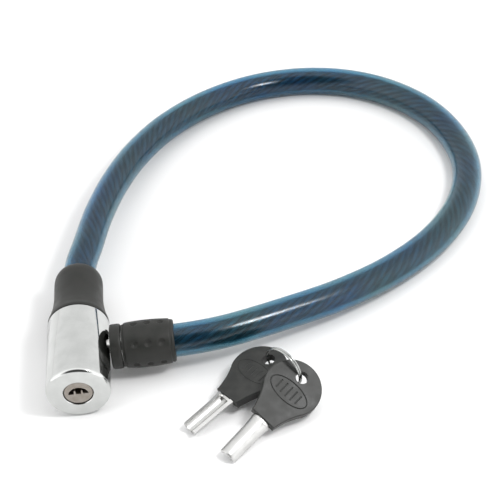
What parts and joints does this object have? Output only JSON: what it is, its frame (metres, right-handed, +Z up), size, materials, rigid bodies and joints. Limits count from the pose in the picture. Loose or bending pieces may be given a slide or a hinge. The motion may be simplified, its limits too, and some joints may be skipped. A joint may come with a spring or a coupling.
{
  "type": "cable lock",
  "caption": "Keyed cable lock: chrome lock body with a half-moon keyway, clear blue jacketed steel cable, side plug with grooved stud, and half-round keys on a split ring.",
  "frame": {"origin": "on the ground, in the middle of the box of lock body, boot, keys and key ring (the cable and its plug left out)", "axes": "+Z up; +Y along the lock body's axis from its key face to its boot; +X from the lock body towards its plug"},
  "size_m": [0.2061, 0.2589, 0.026],
  "materials": {
    "chrome": "bright chrome plate",
    "key_cylinder_steel": "satin, warm grey",
    "brass": "turned",
    "steel": "turned and polished",
    "spring_steel": "drawn wire",
    "wire_rope_steel": "twisted bright wire",
    "blue_jacket": "clear blue, glossy",
    "black_plastic": "moulded, satin",
    "key_head_plastic": "moulded, fine grain",
    "key_blade_steel": "bright nickel plate",
    "ring_steel": "bright wire"
  },
  "bodies": {
    "lock_body": {"body_shell": "chrome", "cylinder_housing": "brass", "retaining_pin": "steel", "latch_block": "brass", "latch_spring": "spring_steel", "anchor_block": "brass", "anchor_pin": "steel", "anchor_ferrule": "steel", "cable_boot": "black_plastic", "cable_jacket": "blue_jacket", "wire_rope": "wire_rope_steel", "pin_spring_1": "spring_steel", "pin_spring_2": "spring_steel", "pin_spring_3": "spring_steel", "pin_spring_4": "spring_steel", "pin_spring_5": "spring_steel"},
    "key_cylinder": {"key_cylinder": "key_cylinder_steel", "drive_cam": "steel"},
    "key_pins": {"key_pin_1": "brass", "key_pin_2": "brass", "key_pin_3": "brass", "key_pin_4": "brass", "key_pin_5": "brass"},
    "driver_pins": {"driver_pin_1": "steel", "driver_pin_2": "steel", "driver_pin_3": "steel", "driver_pin_4": "steel", "driver_pin_5": "steel"},
    "latch": {"latch_plate": "steel"},
    "plug": {"latch_stud": "steel", "stud_pin": "steel", "plug_ferrule": "steel", "plug_collar": "black_plastic", "plug_sleeve": "black_plastic"},
    "key_ring": {"split_ring": "ring_steel"},
    "front_key": {"front_key_head": "key_head_plastic", "front_key_blade": "key_blade_steel"},
    "rear_key": {"rear_key_head": "key_head_plastic", "rear_key_blade": "key_blade_steel"}
  },
  "joints": [
    {"name": "key_turn", "type": "hinge", "parent": "lock_body", "child": "key_cylinder", "pos_m": [-0.0417, -0.0179, 0.013], "axis": [0, 1, 0], "range_deg": [0, 80]},
    {"name": "latch_lift", "type": "slide", "parent": "lock_body", "child": "latch", "axis": [0, 0, 1], "range_m": [0, 0.0019], "deforming": ["latch_spring"]},
    {"name": "key_pins_drop", "type": "slide", "parent": "key_cylinder", "child": "key_pins", "axis": [0, 0, -1], "range_m": [0, 0.0008]},
    {"name": "driver_pins_lift", "type": "slide", "parent": "lock_body", "child": "driver_pins", "axis": [0, 0, 1], "range_m": [0, 0.0008], "deforming": ["pin_spring_1", "pin_spring_2", "pin_spring_3", "pin_spring_4", "pin_spring_5"]},
    {"name": "plug_pull", "type": "slide", "parent": "lock_body", "child": "plug", "axis": [1, 0, 0], "range_m": [0, 0.024], "deforming": ["cable_jacket", "wire_rope"]},
    {"name": "key_ring_lift", "type": "slide", "parent": "lock_body", "child": "key_ring", "axis": [0, 0, 1], "range_m": [0, 0.06]},
    {"name": "front_key_swing", "type": "hinge", "parent": "key_ring", "child": "front_key", "pos_m": [0.047, -0.0214, 0.0109], "axis": [0, 0, 1], "range_deg": [0, 35]},
    {"name": "rear_key_swing", "type": "hinge", "parent": "key_ring", "child": "rear_key", "pos_m": [0.0357, -0.008, 0.0088], "axis": [0, 0, 1], "range_deg": [-20, 0]}
  ],
  "couplings": [
    {"joint": "latch_lift", "follows": "key_turn", "m_per_rad": 0.00136}
  ]
}
